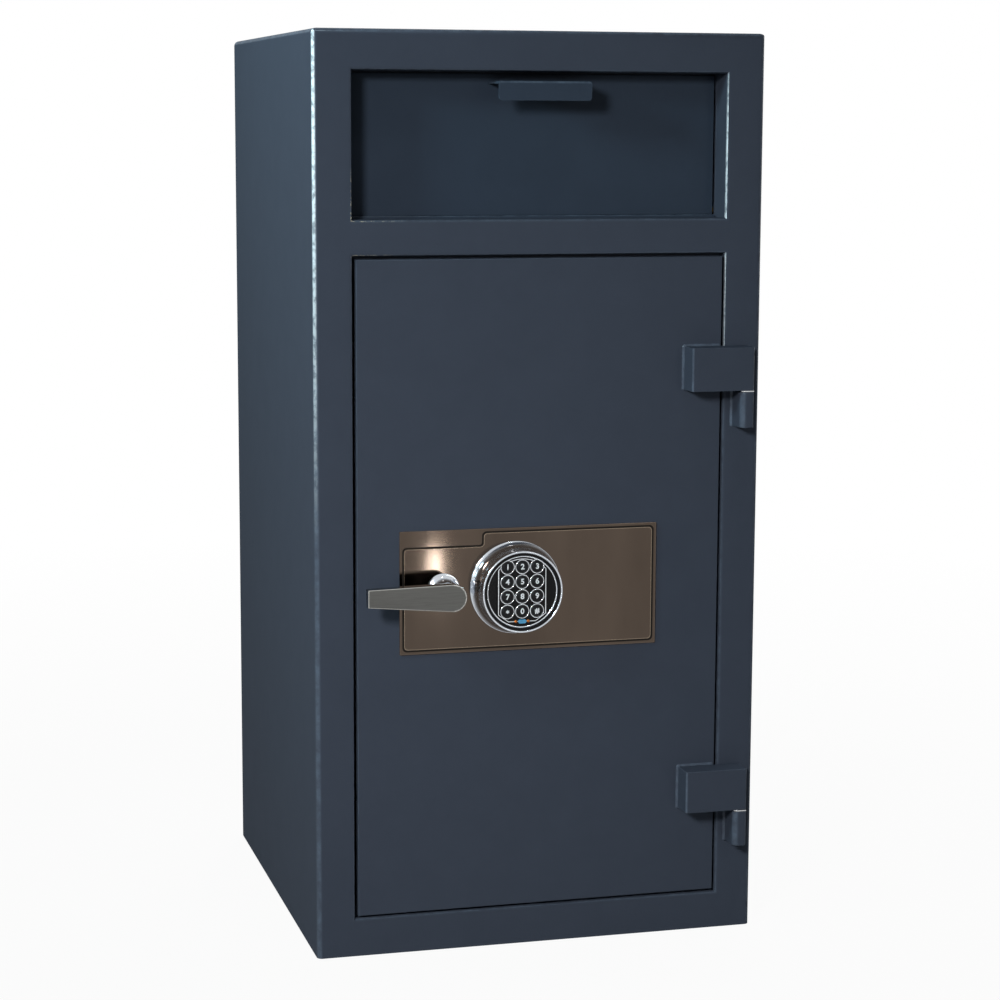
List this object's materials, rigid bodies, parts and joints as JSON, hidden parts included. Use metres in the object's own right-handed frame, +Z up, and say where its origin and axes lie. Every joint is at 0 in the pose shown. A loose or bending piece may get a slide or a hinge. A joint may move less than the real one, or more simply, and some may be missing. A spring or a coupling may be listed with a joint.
{
  "type": "drop safe with deposit hopper",
  "caption": "Upright steel drop safe: a tilting front deposit hopper above a hinged door with lever handle, keypad lock and sliding bolts.",
  "frame": {"origin": "centre of the footprint, on the floor", "axes": "+Z up, the front with the door and hopper faces -Y, +X is right seen from the front"},
  "size_m": [0.508, 0.558, 1.016],
  "materials": {
    "painted_shell": "semi-gloss powder coat with fine orange peel",
    "painted_hopper": "semi-gloss powder coat with fine orange peel",
    "polished_plate": "near-mirror polish, warm tint, etched border",
    "keypad_chrome": "mirror",
    "bright_bolt": "bright plated",
    "lever_brushed": "lengthwise brushed face, polished edges",
    "plain_steel": "zinc plated, satin",
    "lock_zinc": "die-cast, satin",
    "hard_steel": "hardened plate, dark scale",
    "bush_brass": "turned",
    "keypad_black": "satin moulded",
    "key_black": "moulded, with a pale ring",
    "board_green": "coated board",
    "battery_case": "plain sleeve",
    "cable_black": "smooth jacket",
    "light_lens": "clear blue lens"
  },
  "bodies": {
    "body": {"body_shell": "painted_shell", "front_frame": "painted_shell", "back_plate": "painted_shell", "floor_plate": "painted_shell", "door_jamb": "painted_shell", "hinge_knuckle_upper": "painted_shell", "hinge_knuckle_lower": "painted_shell", "hinge_pin_upper": "plain_steel", "hinge_pin_lower": "plain_steel", "hinge_washer_upper": "bright_bolt", "hinge_washer_lower": "bright_bolt", "recess_frame": "painted_hopper", "chute_side_left": "painted_shell", "chute_side_right": "painted_shell", "hopper_bushing_left": "bush_brass", "hopper_bushing_right": "bush_brass", "anti_fish_baffle": "plain_steel"},
    "door": {"door_plate": "painted_shell", "hinge_leaf_upper": "painted_shell", "hinge_leaf_lower": "painted_shell", "dead_bar": "plain_steel", "escutcheon_plate": "polished_plate", "keypad_housing": "keypad_chrome", "keypad_face": "keypad_black", "keypad_board": "board_green", "keypad_battery": "battery_case", "status_light": "light_lens", "lock_body": "lock_zinc", "lock_cable": "cable_black", "hard_plate": "hard_steel", "bolt_guide": "plain_steel", "relocker": "plain_steel", "boltwork_cover": "painted_shell", "spindle_bush": "bush_brass"},
    "handle": {"lever_handle": "lever_brushed", "handle_neck": "keypad_chrome", "handle_spindle": "plain_steel", "spindle_cam": "plain_steel"},
    "boltwork": {"bolt_bar": "plain_steel", "locking_bolt_lower": "bright_bolt", "locking_bolt_middle": "bright_bolt", "locking_bolt_upper": "bright_bolt"},
    "lock": {"lock_bolt": "bush_brass"},
    "hopper": {"hopper_panel": "painted_hopper", "hopper_pull": "painted_hopper", "hopper_tray": "painted_hopper", "hopper_cheek_left": "painted_hopper", "hopper_cheek_right": "painted_hopper"},
    "key_01": {"key_01": "key_black"},
    "key_02": {"key_02": "key_black"},
    "key_03": {"key_03": "key_black"},
    "key_04": {"key_04": "key_black"},
    "key_05": {"key_05": "key_black"},
    "key_06": {"key_06": "key_black"},
    "key_07": {"key_07": "key_black"},
    "key_08": {"key_08": "key_black"},
    "key_09": {"key_09": "key_black"},
    "key_10": {"key_10": "key_black"},
    "key_11": {"key_11": "key_black"},
    "key_12": {"key_12": "key_black"}
  },
  "joints": [
    {"name": "deposit_tilt", "type": "hinge", "parent": "body", "child": "hopper", "pos_m": [0, -0.2035, 0.82], "axis": [1, 0, 0], "range_deg": [0, 50]},
    {"name": "door_swing", "type": "hinge", "parent": "body", "child": "door", "pos_m": [0.22925, -0.269, 0.4], "axis": [0, 0, 1], "range_deg": [0, 120]},
    {"name": "handle_turn", "type": "hinge", "parent": "door", "child": "handle", "pos_m": [-0.112, -0.254, 0.4095], "axis": [0, -1, 0], "range_deg": [0, 60]},
    {"name": "bolt_slide", "type": "slide", "parent": "door", "child": "boltwork", "axis": [-1, 0, 0], "range_m": [0, 0.02]},
    {"name": "lock_bolt_slide", "type": "slide", "parent": "door", "child": "lock", "axis": [0, 0, 1], "range_m": [0, 0.01]},
    {"name": "key_press_01", "type": "slide", "parent": "door", "child": "key_01", "axis": [0, 1, 0], "range_m": [0, 0.0012], "stiffness_N_per_m": 800},
    {"name": "key_press_02", "type": "slide", "parent": "door", "child": "key_02", "axis": [0, 1, 0], "range_m": [0, 0.0012], "stiffness_N_per_m": 800},
    {"name": "key_press_03", "type": "slide", "parent": "door", "child": "key_03", "axis": [0, 1, 0], "range_m": [0, 0.0012], "stiffness_N_per_m": 800},
    {"name": "key_press_04", "type": "slide", "parent": "door", "child": "key_04", "axis": [0, 1, 0], "range_m": [0, 0.0012], "stiffness_N_per_m": 800},
    {"name": "key_press_05", "type": "slide", "parent": "door", "child": "key_05", "axis": [0, 1, 0], "range_m": [0, 0.0012], "stiffness_N_per_m": 800},
    {"name": "key_press_06", "type": "slide", "parent": "door", "child": "key_06", "axis": [0, 1, 0], "range_m": [0, 0.0012], "stiffness_N_per_m": 800},
    {"name": "key_press_07", "type": "slide", "parent": "door", "child": "key_07", "axis": [0, 1, 0], "range_m": [0, 0.0012], "stiffness_N_per_m": 800},
    {"name": "key_press_08", "type": "slide", "parent": "door", "child": "key_08", "axis": [0, 1, 0], "range_m": [0, 0.0012], "stiffness_N_per_m": 800},
    {"name": "key_press_09", "type": "slide", "parent": "door", "child": "key_09", "axis": [0, 1, 0], "range_m": [0, 0.0012], "stiffness_N_per_m": 800},
    {"name": "key_press_10", "type": "slide", "parent": "door", "child": "key_10", "axis": [0, 1, 0], "range_m": [0, 0.0012], "stiffness_N_per_m": 800},
    {"name": "key_press_11", "type": "slide", "parent": "door", "child": "key_11", "axis": [0, 1, 0], "range_m": [0, 0.0012], "stiffness_N_per_m": 800},
    {"name": "key_press_12", "type": "slide", "parent": "door", "child": "key_12", "axis": [0, 1, 0], "range_m": [0, 0.0012], "stiffness_N_per_m": 800}
  ],
  "couplings": [
    {"joint": "bolt_slide", "follows": "handle_turn", "m_per_rad": 0.019098},
    {"joint": "lock_bolt_slide", "follows": "handle_turn", "m_per_rad": 0.009549}
  ]
}
